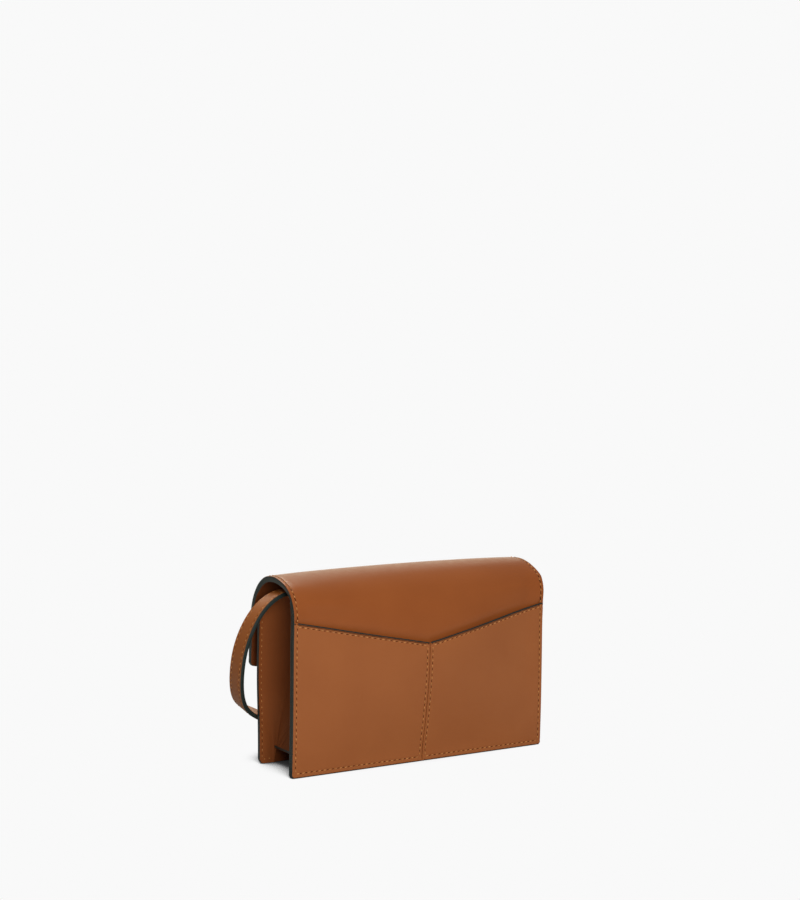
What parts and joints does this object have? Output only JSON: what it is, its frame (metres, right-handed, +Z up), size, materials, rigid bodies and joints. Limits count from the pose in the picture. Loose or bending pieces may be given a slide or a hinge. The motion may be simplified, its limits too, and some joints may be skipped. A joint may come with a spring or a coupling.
{
  "type": "clutch bag",
  "caption": "Small structured leather clutch bag with a rolled flap top, a V-cut slip pocket on the back, inset end gussets and a flat carrying strap.",
  "frame": {"origin": "on the floor, under the middle of the whole bag with its strap", "axes": "+Z up, +X along the bag's width towards the end where the strap swings out furthest, +Y towards the back with the slip pocket, so the flap faces -Y"},
  "size_m": [0.2374, 0.0786, 0.1292],
  "materials": {
    "tan_leather": "smooth, satin",
    "strap_leather": "smooth, satin",
    "snap_steel": "satin",
    "thread": "waxed, twisted"
  },
  "bodies": {
    "root": {"shell": "tan_leather", "pocket_panel_left": "tan_leather", "pocket_panel_right": "tan_leather", "front_panel": "tan_leather", "side_gusset_left": "tan_leather", "side_gusset_right": "tan_leather", "bottom_gusset": "tan_leather", "strap": "strap_leather", "magnetic_snap": "snap_steel"}
  },
  "joints": []
}
